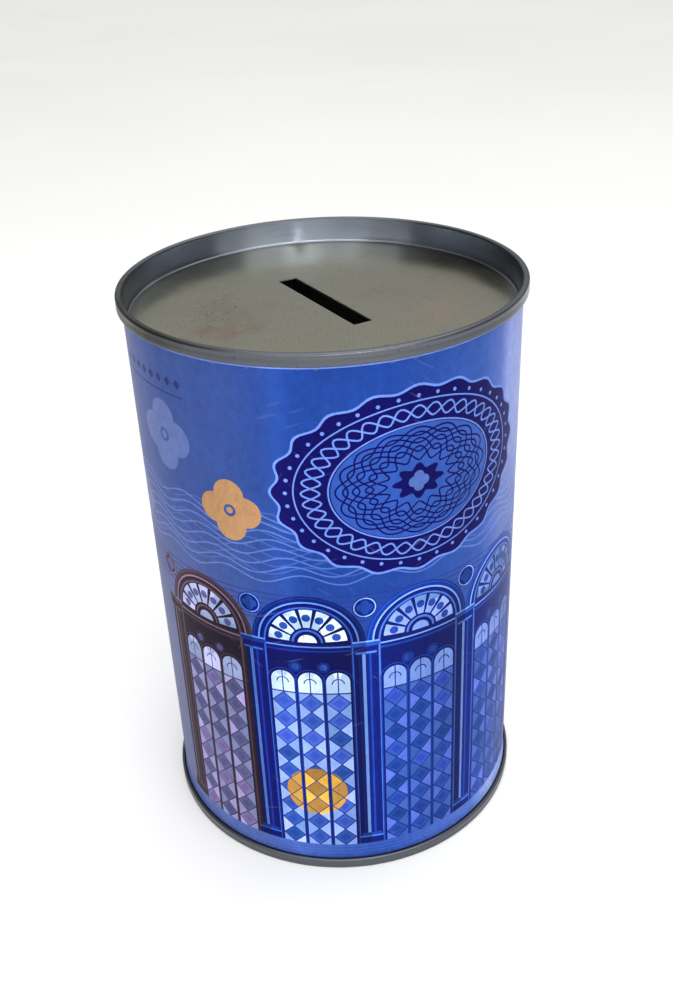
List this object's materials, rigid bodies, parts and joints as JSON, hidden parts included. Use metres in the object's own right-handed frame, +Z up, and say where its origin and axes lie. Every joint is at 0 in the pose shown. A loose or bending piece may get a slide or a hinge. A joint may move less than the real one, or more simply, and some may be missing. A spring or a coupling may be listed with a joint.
{
  "type": "tin money box",
  "caption": "Round printed tinplate money box: a sealed can with double-seamed ends and a coin slot punched in its recessed top",
  "frame": {"origin": "centre of the ring that the can stands on", "axes": "+Z up along the can's axis; the coin slot runs along Y; the middle of the printed front faces 28.8 degrees from -Y towards -X"},
  "size_m": [0.0995, 0.0994, 0.15],
  "materials": {
    "printed_tinplate": "gloss",
    "lacquered_tinplate": "satin",
    "sealing_compound": "matte"
  },
  "bodies": {
    "root": {"can_body": "printed_tinplate", "top_end": "lacquered_tinplate", "bottom_end": "lacquered_tinplate", "top_seal": "sealing_compound", "bottom_seal": "sealing_compound"}
  },
  "joints": []
}
